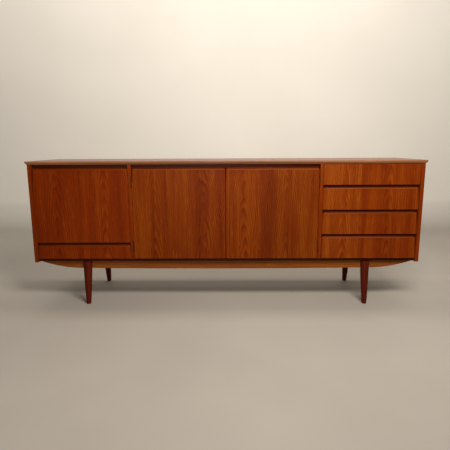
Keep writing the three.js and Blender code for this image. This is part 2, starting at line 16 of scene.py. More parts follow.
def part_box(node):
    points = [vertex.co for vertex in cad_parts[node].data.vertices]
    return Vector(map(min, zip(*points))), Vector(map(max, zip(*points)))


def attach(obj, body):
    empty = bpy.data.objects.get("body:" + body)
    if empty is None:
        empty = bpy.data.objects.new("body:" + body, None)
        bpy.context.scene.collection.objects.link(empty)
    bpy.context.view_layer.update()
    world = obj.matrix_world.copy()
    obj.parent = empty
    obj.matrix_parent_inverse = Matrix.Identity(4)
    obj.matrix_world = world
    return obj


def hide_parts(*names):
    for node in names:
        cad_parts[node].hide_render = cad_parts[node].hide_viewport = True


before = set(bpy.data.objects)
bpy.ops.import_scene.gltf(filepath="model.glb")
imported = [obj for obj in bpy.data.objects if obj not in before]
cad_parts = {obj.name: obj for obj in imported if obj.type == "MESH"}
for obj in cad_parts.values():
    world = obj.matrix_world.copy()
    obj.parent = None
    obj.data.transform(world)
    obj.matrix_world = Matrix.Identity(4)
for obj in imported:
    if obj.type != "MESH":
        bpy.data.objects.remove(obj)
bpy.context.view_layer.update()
MM = 0.001
TINY = 0.01 * MM
HANDS = {"left": -1, "right": 1}
ENDS = {"front": -1, "rear": 1}
DRAWERS = ("drawer_1", "drawer_2", "drawer_3", "drawer_4", "bar_drawer")
# A face counts as turned to a side when its normal has at least this much of that direction.
SQUARELY, MOSTLY, HALFWAY, PARTLY = 0.9, 0.7, 0.5, 0.3

# %% [markdown]
# ## Working in code as at the bench
# An operator acts on whatever is selected, so each helper first puts everything down, then
# picks up only what it needs. Faces and edges could be picked by number, but a number changes
# with every edit before it, so they are picked by where they are. A finished piece has its
# place in its mesh and its object at the origin, like the boards of the frame.


# %% Adding and selecting
def put_everything_down():
    if bpy.context.mode != "OBJECT":
        bpy.ops.object.mode_set(mode="OBJECT")
    bpy.ops.object.select_all(action="DESELECT")


def pick_up(piece):
    put_everything_down()
    piece.select_set(True)
    bpy.context.view_layer.objects.active = piece


def settle(name):
    """Names the object just added, and moves its place, turn and size into its mesh."""
    piece = bpy.context.active_object
    piece.name = name
    piece.data.name = name
    bpy.ops.object.transform_apply(location=True, rotation=True, scale=True)
    return piece


def block(name, low, high):
    """A cube primitive stretched between two corners, ready to be shaped."""
    low, high = Vector(low), Vector(high)
    put_everything_down()
    bpy.ops.mesh.primitive_cube_add(size=1, location=(low + high) / 2, scale=high - low)
    return settle(name)


def bar(name, start, end, radius, sides=24):
    """A cylinder primitive from one point to another."""
    start, end = Vector(start), Vector(end)
    run = end - start
    put_everything_down()
    bpy.ops.mesh.primitive_cylinder_add(
        vertices=sides, radius=radius, depth=run.length, location=(start + end) / 2,
        rotation=run.to_track_quat("Z", "Y").to_euler())
    return settle(name)


def edit(piece, edges=None, faces=None):
    """Enters edit mode with only the edges or faces that pass the test selected."""
    pick_up(piece)
    bpy.ops.object.mode_set(mode="EDIT")
    bpy.ops.mesh.select_mode(type="EDGE" if edges else "FACE")
    bpy.ops.mesh.select_all(action="DESELECT")
    mesh = bmesh.from_edit_mesh(piece.data)
    if edges:
        chosen = [edge for edge in mesh.edges if edges(edge.verts[0].co, edge.verts[1].co)]
    else:
        chosen = [face for face in mesh.faces if faces(face.calc_center_median(), face.normal)]
    for part in chosen:
        part.select_set(True)
    mesh.select_flush_mode()
    bmesh.update_edit_mesh(piece.data)


def edit_all(piece):
    pick_up(piece)
    bpy.ops.object.mode_set(mode="EDIT")
    bpy.ops.mesh.select_all(action="SELECT")


def done():
    bpy.ops.object.mode_set(mode="OBJECT")


# %% [markdown]
# ## Shaping and finishing a piece
# On a real board no arris is left sharp, two woods meet at a seam, and pockets are cut out of
# the solid. A Bevel modifier, a bisect and a Boolean do the same here. The modifiers are
# applied at once, so that the next tool works on the finished shape, as it would at a bench.

# %% Shaping and finishing
ARRIS_ANGLE = 35


def apply_all(piece):
    pick_up(piece)
    for modifier in list(piece.modifiers):
        bpy.ops.object.modifier_apply(modifier=modifier.name)
    return piece


def ease_arrises(piece, width=0.7 * MM, segments=2, angle=ARRIS_ANGLE):
    """Takes the sharpness off every arris, as fine sandpaper does."""
    bevel = piece.modifiers.new("eased", "BEVEL")
    bevel.width = width
    bevel.segments = segments
    bevel.limit_method = "ANGLE"
    bevel.angle_limit = math.radians(angle)
    return apply_all(piece)


def saw_through(piece, axis, place):
    """Cuts the faces along a plane without parting the piece, as a seam between two woods."""
    normal = Vector((0, 0, 0))
    normal[axis] = 1
    edit_all(piece)
    bpy.ops.mesh.bisect(plane_co=normal * place, plane_no=normal, threshold=TINY)
    done()


def carve(piece, cutters):
    """Takes each cutter's shape out of the piece."""
    for cutter in cutters:
        cut = piece.modifiers.new("carved", "BOOLEAN")
        cut.operation = "DIFFERENCE"
        cut.solver = "EXACT"
        cut.object = cutter
    apply_all(piece)
    for cutter in cutters:
        bpy.data.objects.remove(cutter)
    return piece


def smooth(piece):
    """Smooth shading that leaves broad faces flat right up to their eased edges."""
    pick_up(piece)
    bpy.ops.object.shade_smooth_by_angle(angle=math.radians(ARRIS_ANGLE))
    level = piece.modifiers.new("flat faces first", "WEIGHTED_NORMAL")
    level.keep_sharp = True
    return apply_all(piece)


def wear(piece, *finishes, slot_of=None):
    """Gives the piece its finishes; slot_of picks one from a face's middle and normal."""
    piece.data.materials.clear()
    for finish in finishes:
        piece.data.materials.append(finish)
    if slot_of:
        for face in piece.data.polygons:
            face.material_index = slot_of(face.center, face.normal)
    return piece


def place_on(piece, body, slot, *nodes):
    """The piece moves with the body and stands for the named boards of the frame."""
    smooth(piece)
    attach(piece, body)
    if nodes:
        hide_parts(*nodes)
    print(piece.name, "rides on", body, "with", len(piece.data.polygons), "faces")
    return piece


# %% [markdown]
# ## Teak
# Teak is a warm brown with three kinds of mark: broad bands from the log's growth rings, fine
# streaks a few millimetres apart, and short dark pores. Where a veneer leaf is cut near the
# middle of the log its rings show as tall pointed arches. A picture of wood could give them,
# but here the rings are worked out: the distance from a slanting heart line gives arches near
# the heart and straight lines away from it, as in the real log. One node group makes these
# marks, and every wood finish uses it with its own heart, seed and colours.


# %% Small tools for node trees
def add_node(tree, kind, **settings):
    made = tree.nodes.new(kind)
    for key, value in settings.items():
        setattr(made, key, value)
    return made


def feed(tree, node, socket, value):
    """Joins an output to an input, or sets the input to a constant."""
    target = node.inputs[socket]
    if hasattr(value, "is_output"):
        tree.links.new(value, target)
    else:
        target.default_value = value


def maths(tree, operation, *values):
    made = add_node(tree, "ShaderNodeMath", operation=operation)
    for index, value in enumerate(values):
        feed(tree, made, index, value)
    return made.outputs[0]


def stretched(tree, place, frequencies):
    """The place multiplied by a frequency for each direction."""
    made = add_node(tree, "ShaderNodeVectorMath", operation="MULTIPLY")
    feed(tree, made, 0, place)
    made.inputs[1].default_value = frequencies
    return made.outputs[0]


def noise(tree, place, scale=1.0, detail=2.0, roughness=0.5):
    made = add_node(tree, "ShaderNodeTexNoise")
    feed(tree, made, "Vector", place)
    feed(tree, made, "Scale", scale)
    feed(tree, made, "Detail", detail)
    feed(tree, made, "Roughness", roughness)
    return made.outputs["Fac"]


def ramp(tree, value, *stops):
    """A colour ramp from (position, colour) stops, with grey numbers or RGB colours."""
    made = add_node(tree, "ShaderNodeValToRGB")
    elements = made.color_ramp.elements
    while len(elements) < len(stops):
        elements.new(0.5)
    for element, (position, colour) in zip(elements, stops):
        element.position = position
        grey = isinstance(colour, (int, float))
        element.color = (colour, colour, colour, 1) if grey else (*colour, 1)
    feed(tree, made, 0, value)
    return made.outputs[0]


def between(tree, value, low, high):
    """The value's share of the way from low to high, held to 0 and 1."""
    made = add_node(tree, "ShaderNodeMapRange", clamp=True)
    feed(tree, made, "Value", value)
    feed(tree, made, "From Min", low)
    feed(tree, made, "From Max", high)
    return made.outputs[0]


def mixed(tree, amount, first, second):
    """A colour that goes from the first to the second as the amount goes from 0 to 1."""
    made = add_node(tree, "ShaderNodeMix", data_type="RGBA")
    feed(tree, made, 0, amount)
    for index, value in ((6, first), (7, second)):
        feed(tree, made, index, (*value, 1) if isinstance(value, tuple) else value)
    return made.outputs[2]


def node_group(name, inputs, outputs):
    """An empty group with named sockets: its tree, its inputs and its output node."""
    tree = bpy.data.node_groups.new(name, "ShaderNodeTree")
    for label, kind, value in inputs:
        socket = tree.interface.new_socket(label, in_out="INPUT", socket_type=kind)
        socket.default_value = value
    for label in outputs:
        tree.interface.new_socket(label, in_out="OUTPUT", socket_type="NodeSocketFloat")
    return tree, tree.nodes.new("NodeGroupInput").outputs, tree.nodes.new("NodeGroupOutput")


def new_finish(name):
    made = bpy.data.materials.new(name)
    made.use_nodes = True
    return made, made.node_tree, made.node_tree.nodes["Principled BSDF"]


# %% The wood grain group
FLOAT, VECTOR = "NodeSocketFloat", "NodeSocketVector"
# How often each mark changes in a metre across, through and along the grain.
WANDERING = (5.0, 5.0, 2.2)
UNEVENNESS = (24.0, 24.0, 4.0)
CLEARNESS = (30.0, 30.0, 6.0)
BANDS = (21.0, 21.0, 0.9)
STREAKS = (210.0, 210.0, 3.5)
FLECKS = (130.0, 130.0, 16.0)
PORES = (1500.0, 1500.0, 70.0)
# Tone across one ring, how far it strays, and where the rings are clear to see.
RING_TONES = ((0.0, 0.8), (0.25, 1.0), (0.6, 0.5), (0.86, 0.0), (1.0, 0.8))
RING_STRAYING = 2.2
CLEAR_FROM, CLEAR_TO = 0.35, 0.62


def make_wood_grain():
    """Marks of one log, for a place whose X runs across the grain, Y through it, Z along it."""
    tree, given, end = node_group(
        "wood grain",
        [
            ("Place", VECTOR, (0, 0, 0)),
            ("Heart", FLOAT, 0.0),
            ("Heart Depth", FLOAT, 0.03),
            ("Ring Width", FLOAT, 0.007),
            ("Taper", FLOAT, 0.07),
            ("Wander", FLOAT, 0.03),
        ],
        ["Rings", "Bands", "Streaks", "Flecks", "Pores"],
    )
    place = given["Place"]
    wandering = noise(tree, stretched(tree, place, WANDERING))
    shift = maths(tree, "MULTIPLY", maths(tree, "SUBTRACT", wandering, 0.5), given["Wander"])
    parts = add_node(tree, "ShaderNodeSeparateXYZ")
    feed(tree, parts, 0, place)
    across = maths(tree, "SUBTRACT", parts.outputs["X"], given["Heart"])
    across = maths(tree, "ADD", across, shift)
    squares = maths(tree, "ADD", maths(tree, "MULTIPLY", across, across),
                    maths(tree, "MULTIPLY", given["Heart Depth"], given["Heart Depth"]))
    slanted = maths(tree, "MULTIPLY_ADD", parts.outputs["Z"], given["Taper"],
                    maths(tree, "SQRT", squares))
    uneven = noise(tree, stretched(tree, place, UNEVENNESS), detail=2.5)
    phase = maths(tree, "DIVIDE", slanted, given["Ring Width"])
    phase = maths(tree, "MULTIPLY_ADD", uneven, RING_STRAYING, phase)
    ring = ramp(tree, maths(tree, "FRACT", phase), *RING_TONES)
    clear = noise(tree, stretched(tree, place, CLEARNESS), detail=1.0)
    strength = between(tree, clear, CLEAR_FROM, CLEAR_TO)
    ring = maths(tree, "MULTIPLY_ADD", maths(tree, "SUBTRACT", ring, 0.5), strength, 0.5)
    feed(tree, end, "Rings", ring)
    bands = noise(tree, stretched(tree, place, BANDS), detail=2.5, roughness=0.55)
    feed(tree, end, "Bands", between(tree, bands, 0.3, 0.7))
    streaks = noise(tree, stretched(tree, place, STREAKS), detail=3.0, roughness=0.6)
    feed(tree, end, "Streaks", between(tree, streaks, 0.3, 0.7))
    flecks = noise(tree, stretched(tree, place, FLECKS), roughness=0.6)
    feed(tree, end, "Flecks", between(tree, flecks, 0.55, 0.75))
    pores = noise(tree, stretched(tree, place, PORES), detail=1.0)
    feed(tree, end, "Pores", between(tree, pores, 0.6, 0.72))
    return tree


WOOD_GRAIN = make_wood_grain()
print("wood grain group:", len(WOOD_GRAIN.nodes), "nodes")

# %% [markdown]
# ## Where hands go
# There are no handles: all fronts but the top drawer's are pulled by their top edge. After
# years the finish there is darker and a little shinier, most of all in the middle. A second
# node group makes that mask from the height of the edge, and each front gives it its own.

# %% The hand wear group
PATCHES_PER_METRE, PATCHINESS = 28.0, 0.9
NO_WEAR, FULL_WEAR = 1.5, 0.5


def make_hand_wear():
    tree, given, end = node_group(
        "hand wear",
        [
            ("Place", VECTOR, (0, 0, 0)),
            ("Edge Height", FLOAT, 0.7),
            ("Middle", FLOAT, 0.0),
            ("Reach", FLOAT, 0.04),
            ("Spread", FLOAT, 0.2),
        ],
        ["Wear"],
    )
    parts = add_node(tree, "ShaderNodeSeparateXYZ")
    feed(tree, parts, 0, given["Place"])
    below = maths(tree, "SUBTRACT", given["Edge Height"], parts.outputs["Z"])
    below = maths(tree, "DIVIDE", below, given["Reach"])
    beside = maths(tree, "SUBTRACT", parts.outputs["X"], given["Middle"])
    beside = maths(tree, "DIVIDE", beside, given["Spread"])
    away = maths(tree, "ADD", maths(tree, "MULTIPLY", below, below),
                 maths(tree, "MULTIPLY", beside, beside))
    patchy = noise(tree, given["Place"], scale=PATCHES_PER_METRE, detail=3.0)
    away = maths(tree, "MULTIPLY_ADD", patchy, PATCHINESS, maths(tree, "SQRT", away))
    feed(tree, end, "Wear", between(tree, away, NO_WEAR, FULL_WEAR))
    return tree


HAND_WEAR = make_hand_wear()
print("hand wear group:", len(HAND_WEAR.nodes), "nodes")

# %% [markdown]
# ## Finishes made from the grain
# A finish has to know which way the grain runs. Object coordinates give the place on the
# cabinet, and their three parts are handed on in a new order, so that across, through and
# along the grain always arrive as X, Y and Z. The oil finish is satin: soft gloss, with the
# pores duller than the wood between them.

# %% Wood finishes
PORE_SHADE, PORE_DARKNESS, PORE_DULLNESS = 0.3, 0.4, 0.15
WEAR_SHADE, WEAR_DARKNESS, WEAR_SHINE = 0.8, 0.3, 0.09
STREAK_HEIGHT, GRAIN_RELIEF = 0.35, 0.05 * MM


def grain_place(tree, coordinates, along, across, offset):
    """Object coordinates moved by offset and ordered across, through and along the grain."""
    mapping = add_node(tree, "ShaderNodeMapping", vector_type="POINT")
    feed(tree, mapping, "Location", offset)
    feed(tree, mapping, "Vector", coordinates)
    split = add_node(tree, "ShaderNodeSeparateXYZ")
    feed(tree, split, 0, mapping.outputs[0])
    joined = add_node(tree, "ShaderNodeCombineXYZ")
    through = ({"X", "Y", "Z"} - {along, across}).pop()
    for target, axis in zip("XYZ", (across, through, along)):
        feed(tree, joined, target, split.outputs[axis])
    return joined.outputs[0]


def wood(name, colours, along="Z", across="X", offset=(0, 0, 0), heart=0.0, heart_depth=0.03,
         ring_width=8 * MM, taper=0.07, wander=0.03, figure=(0.4, 0.34, 0.18, 0.2),
         roughness=(0.38, 0.5), gloss=0.12, handled=None):
    """colours: dark, middle and light tones. figure: shares of rings, bands, streaks and
    flecks in the tone. handled: height and middle of the edge that hands pull."""
    made, tree, shader = new_finish(name)
    coordinates = add_node(tree, "ShaderNodeTexCoord").outputs["Object"]
    marks = add_node(tree, "ShaderNodeGroup", node_tree=WOOD_GRAIN)
    feed(tree, marks, "Place", grain_place(tree, coordinates, along, across, offset))
    feed(tree, marks, "Heart", heart)
    feed(tree, marks, "Heart Depth", heart_depth)
    feed(tree, marks, "Ring Width", ring_width)
    feed(tree, marks, "Taper", taper)
    feed(tree, marks, "Wander", wander)
    tone = maths(tree, "MULTIPLY", marks.outputs["Rings"], figure[0])
    for label, share in zip(("Bands", "Streaks", "Flecks"), figure[1:]):
        tone = maths(tree, "MULTIPLY_ADD", marks.outputs[label], share, tone)
    dark, middle, light = colours
    colour = ramp(tree, tone, (0.15, dark), (0.5, middle), (0.92, light))
    pore_tone = tuple(PORE_SHADE * part for part in dark)
    pores_shown = maths(tree, "MULTIPLY", marks.outputs["Pores"], PORE_DARKNESS)
    colour = mixed(tree, pores_shown, colour, pore_tone)
    low, high = roughness
    dull = maths(tree, "MULTIPLY_ADD", marks.outputs["Pores"], PORE_DULLNESS, low)
    dull = maths(tree, "MULTIPLY_ADD", marks.outputs["Streaks"], high - low, dull)
    if handled:
        rubbed = add_node(tree, "ShaderNodeGroup", node_tree=HAND_WEAR)
        feed(tree, rubbed, "Place", coordinates)
        feed(tree, rubbed, "Edge Height", handled[0])
        feed(tree, rubbed, "Middle", handled[1])
        worn = rubbed.outputs["Wear"]
        worn_tone = tuple(WEAR_SHADE * part for part in dark)
        colour = mixed(tree, maths(tree, "MULTIPLY", worn, WEAR_DARKNESS), colour, worn_tone)
        dull = maths(tree, "MULTIPLY_ADD", worn, -WEAR_SHINE, dull)
    feed(tree, shader, "Base Color", colour)
    feed(tree, shader, "Roughness", dull)
    height = maths(tree, "MULTIPLY", marks.outputs["Streaks"], STREAK_HEIGHT)
    height = maths(tree, "SUBTRACT", height, marks.outputs["Pores"])
    bump = add_node(tree, "ShaderNodeBump")
    feed(tree, bump, "Distance", GRAIN_RELIEF)
    feed(tree, bump, "Height", height)
    feed(tree, shader, "Normal", bump.outputs[0])
    shader.inputs["Specular IOR Level"].default_value = gloss
    return made


# %% [markdown]
# ## Tones of the woods
# The fronts came from one kind of log but not from one leaf: the flap is the reddest, the
# doors are browner with one dusky leaf, and the drawers are the warmest. The legs are darker
# and the aprons and the top's edging lighter than any front. One set of tones for all would
# be quicker, but the cabinet would look moulded, so each kind of part has its own dark,
# middle and light.

# %% Tones of the woods
TEAK = ((0.088, 0.0088, 0.0003), (0.154, 0.0215, 0.0006), (0.25, 0.053, 0.0022))
TEAK_DEEP = ((0.087, 0.0076, 0.0002), (0.149, 0.0171, 0.0004), (0.222, 0.0385, 0.0015))
TEAK_DOORS = ((0.08, 0.0083, 0.0002), (0.14, 0.0203, 0.0004), (0.228, 0.05, 0.0015))
TEAK_DUSKY = ((0.072, 0.0077, 0.0002), (0.126, 0.0188, 0.0004), (0.205, 0.0465, 0.0015))
TEAK_WARM = ((0.1, 0.0118, 0.0004), (0.172, 0.0285, 0.0011), (0.285, 0.071, 0.005))
LIPPING = ((0.085, 0.0085, 0.0002), (0.15, 0.0195, 0.0005), (0.225, 0.045, 0.002))
LIPPING_LEVEL = ((0.078, 0.0108, 0.0003), (0.138, 0.0245, 0.0008), (0.21, 0.055, 0.003))
# Painted shade: dark tones for the top edge and the upper half of each finger bevel, standing for
# the shade in the gap above.
FINGER_EDGE_SHADE_TONES = ((0.047, 0.0052, 0.0001), (0.08, 0.0105, 0.0003), (0.125, 0.023, 0.001))
RAIL_TEAK = ((0.075, 0.008, 0.0002), (0.125, 0.0145, 0.0003), (0.19, 0.032, 0.001))
TOP_EDGING = ((0.15, 0.05, 0.014), (0.235, 0.09, 0.034), (0.33, 0.15, 0.07))
LEG_TONES = ((0.034, 0.0022, 0.0001), (0.066, 0.0048, 0.0002), (0.115, 0.013, 0.0006))
APRON_TONES = ((0.1, 0.019, 0.0015), (0.185, 0.047, 0.0045), (0.29, 0.092, 0.012))
# Dark tones for the glue lines between leaves, and painted shade for the bottom board's front
# strip.
GLUE_LINE_AND_PAINTED_SHADE = ((0.03, 0.003, 0.0002), (0.05, 0.0055, 0.0003), (0.075, 0.01, 0.0007))
PALE_WOOD = ((0.3, 0.155, 0.062), (0.46, 0.27, 0.125), (0.6, 0.39, 0.21))
print("the doors' middle tone:", TEAK_DOORS[1])

# %% [markdown]
# ## One finish for each cut
# A board shows different wood on its face and on its edges, and the grain of each runs its
# own way. A single material turned to fit would show the same stripes everywhere, so every
# cut gets a finish of its own from the same recipe. Narrow strips show no arches, only bands
# and streaks, so the edge figure leaves the rings out.

# %% Finishes for edges and strips
EDGE_FIGURE = (0.0, 0.45, 0.45, 0.15)
FRONT_GLOSS, EDGING_GLOSS = 0.06, 0.4
LEVEL_EDGE = {"along": "X", "across": "Z", "figure": EDGE_FIGURE}

lipping_upright = wood("teak lipping, upright", LIPPING, figure=EDGE_FIGURE,
                       offset=(0.31, 0, 0), gloss=FRONT_GLOSS)
meeting_strip = wood("teak strip, doors' meeting edge", TEAK_WARM, figure=EDGE_FIGURE,
                     offset=(0.17, 0, 0), gloss=FRONT_GLOSS)
lipping_level = wood("teak lipping, level", LIPPING_LEVEL, **LEVEL_EDGE)
finger_edge_shade = wood("teak lipping, finger edge, painted shade", FINGER_EDGE_SHADE_TONES, **LEVEL_EDGE)
rail_teak = wood("solid teak, rails", RAIL_TEAK, **LEVEL_EDGE)
top_edging = wood("teak edging, top front", TOP_EDGING, gloss=EDGING_GLOSS, **LEVEL_EDGE)
top_end_edging = wood("teak edging, top ends", TOP_EDGING, along="Y", across="Z",
                      figure=EDGE_FIGURE, gloss=EDGING_GLOSS)
glue_line = wood("glue line", GLUE_LINE_AND_PAINTED_SHADE, figure=EDGE_FIGURE)
# Painted shade: the dark strip under the fronts stands for the shadow that the fronts cast over the
# base.
lipping_painted_shade = wood("lipping, painted shade under the fronts", GLUE_LINE_AND_PAINTED_SHADE, roughness=(0.5, 0.6), **LEVEL_EDGE)
ply_edge = wood("birch ply, edges", PALE_WOOD, roughness=(0.6, 0.75), **LEVEL_EDGE)
print("finishes for edges:", len(bpy.data.materials))

# %% Finishes for faces and solid parts
top_veneer = wood("teak veneer, top", TEAK_WARM, along="X", across="Y", heart=0.05, taper=0.03,
                  wander=0.06, offset=(0.4, 0, 0), gloss=0.5, roughness=(0.26, 0.36))
side_veneer = wood("teak veneer, sides", TEAK, across="Y", heart=0.02, wander=0.05,
                   taper=0.085, gloss=0.25)
inner_level = wood("teak veneer, level inside", TEAK, along="X", across="Y", heart=0.08, taper=0.02)
inner_upright = wood("teak veneer, upright inside", TEAK, across="Y", heart=-0.05)
backing = wood("teak veneer, backs of fronts", TEAK, heart=0.2, wander=0.12,
               figure=(0.2, 0.5, 0.3, 0.1), roughness=(0.45, 0.6))
leg_teak = wood("solid teak, legs", LEG_TONES, ring_width=4 * MM, heart=0.01)
apron_teak = wood("solid teak, aprons", APRON_TONES, along="X", across="Z", heart=0.1,
                  taper=0.012, ring_width=9 * MM)
rail_wood = wood("pale wood, rails", PALE_WOOD, along="Y", across="Z")
drawer_side_wood = wood("pale wood, drawer sides", PALE_WOOD, along="Y", across="Z",
                        ring_width=9 * MM, roughness=(0.45, 0.6))
ply_face = wood("birch ply, drawer bottoms", PALE_WOOD, along="X", across="Y",
                ring_width=14 * MM, wander=0.09, roughness=(0.5, 0.65))
ply_back = wood("birch ply, back", PALE_WOOD, ring_width=22 * MM, wander=0.2, taper=0.05,
                roughness=(0.55, 0.7), heart=-0.3, figure=(0.26, 0.4, 0.25, 0.15))
inner_back = wood("teak veneer, inside back", TEAK, heart=0.12, wander=0.15, ring_width=12 * MM,
                  roughness=(0.45, 0.6))
print("wood finishes:", len(bpy.data.materials))

# %% [markdown]
# ## Aged brass
# Hinges and stays of this age have gone from yellow to a dark brown gold, deeper in patches
# and brighter where they rub. A plain gold would look new, and painted spots would repeat on
# every leaf. So the colour and the roughness both follow one cloudy noise.

# %% Metal finishes
CLOUDS_PER_METRE, CLOUD_SHINE = 160.0, 0.25


def metal(name, dark, middle, light, roughness):
    made, tree, shader = new_finish(name)
    coordinates = add_node(tree, "ShaderNodeTexCoord").outputs["Object"]
    clouds = noise(tree, coordinates, scale=CLOUDS_PER_METRE, detail=4.0, roughness=0.65)
    colour = ramp(tree, clouds, (0.3, dark), (0.55, middle), (0.8, light))
    feed(tree, shader, "Base Color", colour)
    feed(tree, shader, "Roughness", maths(tree, "MULTIPLY_ADD", clouds, -CLOUD_SHINE, roughness))
    shader.inputs["Metallic"].default_value = 1.0
    return made


brass = metal("aged brass", (0.2, 0.11, 0.04), (0.42, 0.27, 0.1), (0.62, 0.43, 0.19), 0.5)
browned_brass = metal("browned brass", (0.07, 0.02, 0.005), (0.13, 0.04, 0.01),
                      (0.22, 0.08, 0.025), 0.7)
steel = metal("dull steel", (0.2, 0.19, 0.18), (0.36, 0.35, 0.33), (0.5, 0.49, 0.47), 0.55)
print("finishes so far:", len(bpy.data.materials))

# %% [markdown]
# ## Carried-over boards
# Some pieces of the frame already have their true shape: runners, drawer boxes, aprons,
# hinge leaves, the stay. They could be made again, but that would only risk a misfit, so they
# stay and only get their finish. Their meshes are loose triangles, so a weld comes first and
# then a fine bevel, both as live modifiers.


# %% Dress the frame's own pieces
WELD_DISTANCE = 0.02 * MM


def dress(node_name, finish, width=0.6 * MM):
    node = wear(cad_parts[node_name], finish)
    weld = node.modifiers.new("weld", "WELD")
    weld.merge_threshold = WELD_DISTANCE
    bevel = node.modifiers.new("eased", "BEVEL")
    bevel.width = width
    bevel.segments = 2
    bevel.limit_method = "ANGLE"
    bevel.angle_limit = math.radians(ARRIS_ANGLE)
    bevel.harden_normals = True


for drawer_name in DRAWERS:
    dress(drawer_name + "_box", drawer_side_wood, 0.9 * MM)
    dress(drawer_name + "_bottom", ply_face, 0.2 * MM)
    for hand in HANDS:
        dress(f"{drawer_name}_runner_{hand}", rail_wood)
for hand in HANDS:
    dress("cross_rail_" + hand, rail_wood, 1.0 * MM)
for end in ENDS:
    dress("apron_" + end, apron_teak, 1.2 * MM)
for node_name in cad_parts:
    if node_name.startswith("hinge_"):
        dress(node_name, browned_brass, 0.2 * MM)
    elif node_name.startswith(("flap_stay", "flap_pivot")):
        dress(node_name, brass, 0.25 * MM)

# %% [markdown]
# ## The top
# A slab whose edge is upright for its upper part and then runs in under the front and the
# ends. A bevelled block would run in at the back too. Here the upper part is a block, and its
# underside is extruded down and drawn in towards the back edge, which leaves that edge
# straight. An inset parts the veneered field from the solid edge round it.


# %% Make the top
UNDER_BEVEL = 10 * MM
TOP_EDGE_WIDTH = 7 * MM


def make_top():
    low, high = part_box("case_top")
    run_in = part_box("case_side_left")[0].x - low.x
    slab = block("top_slab", (low.x, low.y, low.z + UNDER_BEVEL), high)
    edit(slab, faces=lambda middle, normal: normal.z < -SQUARELY)
    bpy.ops.mesh.extrude_region_move(TRANSFORM_OT_translate={"value": (0, 0, -UNDER_BEVEL)})
    done()
    drawn_in = (1 - 2 * run_in / (high.x - low.x), 1 - run_in / (high.y - low.y), 1)
    edit(slab, faces=lambda middle, normal: normal.z < -SQUARELY)
    bpy.ops.transform.resize(value=drawn_in, center_override=(0, high.y, low.z))
    done()
    edit(slab, faces=lambda middle, normal: normal.z > SQUARELY)
    bpy.ops.mesh.inset(thickness=TOP_EDGE_WIDTH, depth=0)
    done()
    ease_arrises(slab, 0.9 * MM)

    def slot_of(middle, normal):
        """Veneer inside the edging; the edging's grain runs along each edge."""
        inside_x = abs(middle.x) < high.x - TOP_EDGE_WIDTH - MM
        inside_y = abs(middle.y) < high.y - TOP_EDGE_WIDTH
        if abs(normal.z) > SQUARELY and inside_x and inside_y:
            return 0
        return 2 if abs(normal.x) > HALFWAY else 1

    wear(slab, top_veneer, top_edging, top_end_edging, slot_of=slot_of)
    place_on(slab, "case", "teak_veneer", "case_top")


make_top()

# %% [markdown]
# ## The back
# A thin sheet of plywood, veneered with teak on the side that shows when a door is open. Two
# sheets face to face would show the same, but it is one board and one block is enough: each
# of its faces takes a finish by the way it looks.


# %% Make the back
def back_slot(middle, normal):
    """Teak inside, plain ply outside, and the plies' own edges round it."""
    if normal.y < -MOSTLY:
        return 0
    return 1 if normal.y > MOSTLY else 2


back_low, back_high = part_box("case_back")
back_board = ease_arrises(block("back_board", back_low, back_high), 0.5 * MM)
wear(back_board, inner_back, ply_back, ply_edge, slot_of=back_slot)
place_on(back_board, "case", "plywood", "case_back")

# %% [markdown]
# ## Case boards
# Each board of the case has a strip of solid teak glued to its front edge, which shows as a
# narrow line beside the fronts. The strip could be a piece of its own, but a glued joint
# doesn't open, so it is enough to saw the block's faces at the glue line and give the strip's
# faces their own finish. The strip under the fronts is coloured dark as painted shade, the
# shadow under the fronts, so that the case seems to float over its base. Pockets for the hinge
# leaves and holes for the pivots and shelf pins are carved out last.

# %% Places of the hinges and shelf pins
LIPPING_DEPTH = 7 * MM
BARREL_RADIUS = 2.75 * MM
LEAF_NEAR, LEAF_FAR = 0.25 * MM, 2.05 * MM
LEAF_REACH = 18.3 * MM
PIVOT_HOLE = 3.3 * MM
PIN_RADIUS, PIN_HALF = 2.5 * MM, 7 * MM
PIN_ROWS = {"front": -0.11, "rear": 0.16}
PIN_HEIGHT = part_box("centre_shelf")[0].z - PIN_RADIUS
PIN_PLAY = 0.1 * MM
SPARE_HOLES = (-0.08, -0.04, 0, 0.04, 0.08)
POCKET_PLAY = 0.3 * MM
print("shelf pins at height", round(PIN_HEIGHT, 4))


def hinge_axis(hand, level):
    """Middle of the barrel, with the low and high ends of the hinge."""
    low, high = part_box(f"hinge_{hand}_{level}_fixed")
    axis = Vector(((low.x + high.x) / 2, low.y + BARREL_RADIUS, (low.z + high.z) / 2))
    return axis, low.z, high.z


def leaf_pockets(hand, toward):
    """Cutters for a door's two hinge leaves, let into the wood on one side of the axis."""
    cutters = []
    for level in ("lower", "upper"):
        axis, low_z, high_z = hinge_axis(hand, level)
        edges = sorted((axis.x + toward * LEAF_NEAR, axis.x + toward * LEAF_FAR))
        cutters.append(block(
            "pocket",
            (edges[0], axis.y, low_z - POCKET_PLAY),
            (edges[1], axis.y + LEAF_REACH, high_z + POCKET_PLAY),
        ))
    return cutters


def pivot_hole(hand):
    """Cutter for a flap pivot, a little longer than the pivot at both ends."""
    low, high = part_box("flap_pivot_" + hand)
    middle = (low + high) / 2
    past_end = Vector((MM, 0, 0))
    start = Vector((low.x, middle.y, middle.z)) - past_end
    return bar("pivot_hole", start, Vector((high.x, middle.y, middle.z)) + past_end, PIVOT_HOLE)


def pin_holes(hand, face):
    """Cutters for two rows of shelf pin holes in a divider's face, one for each height."""
    side = HANDS[hand]
    mouth, end = face - side * MM, face + side * (PIN_HALF + MM)
    return [
        bar("hole", (mouth, y, PIN_HEIGHT + step), (end, y, PIN_HEIGHT + step),
            PIN_RADIUS + PIN_PLAY, 16)
        for y in PIN_ROWS.values() for step in SPARE_HOLES
    ]


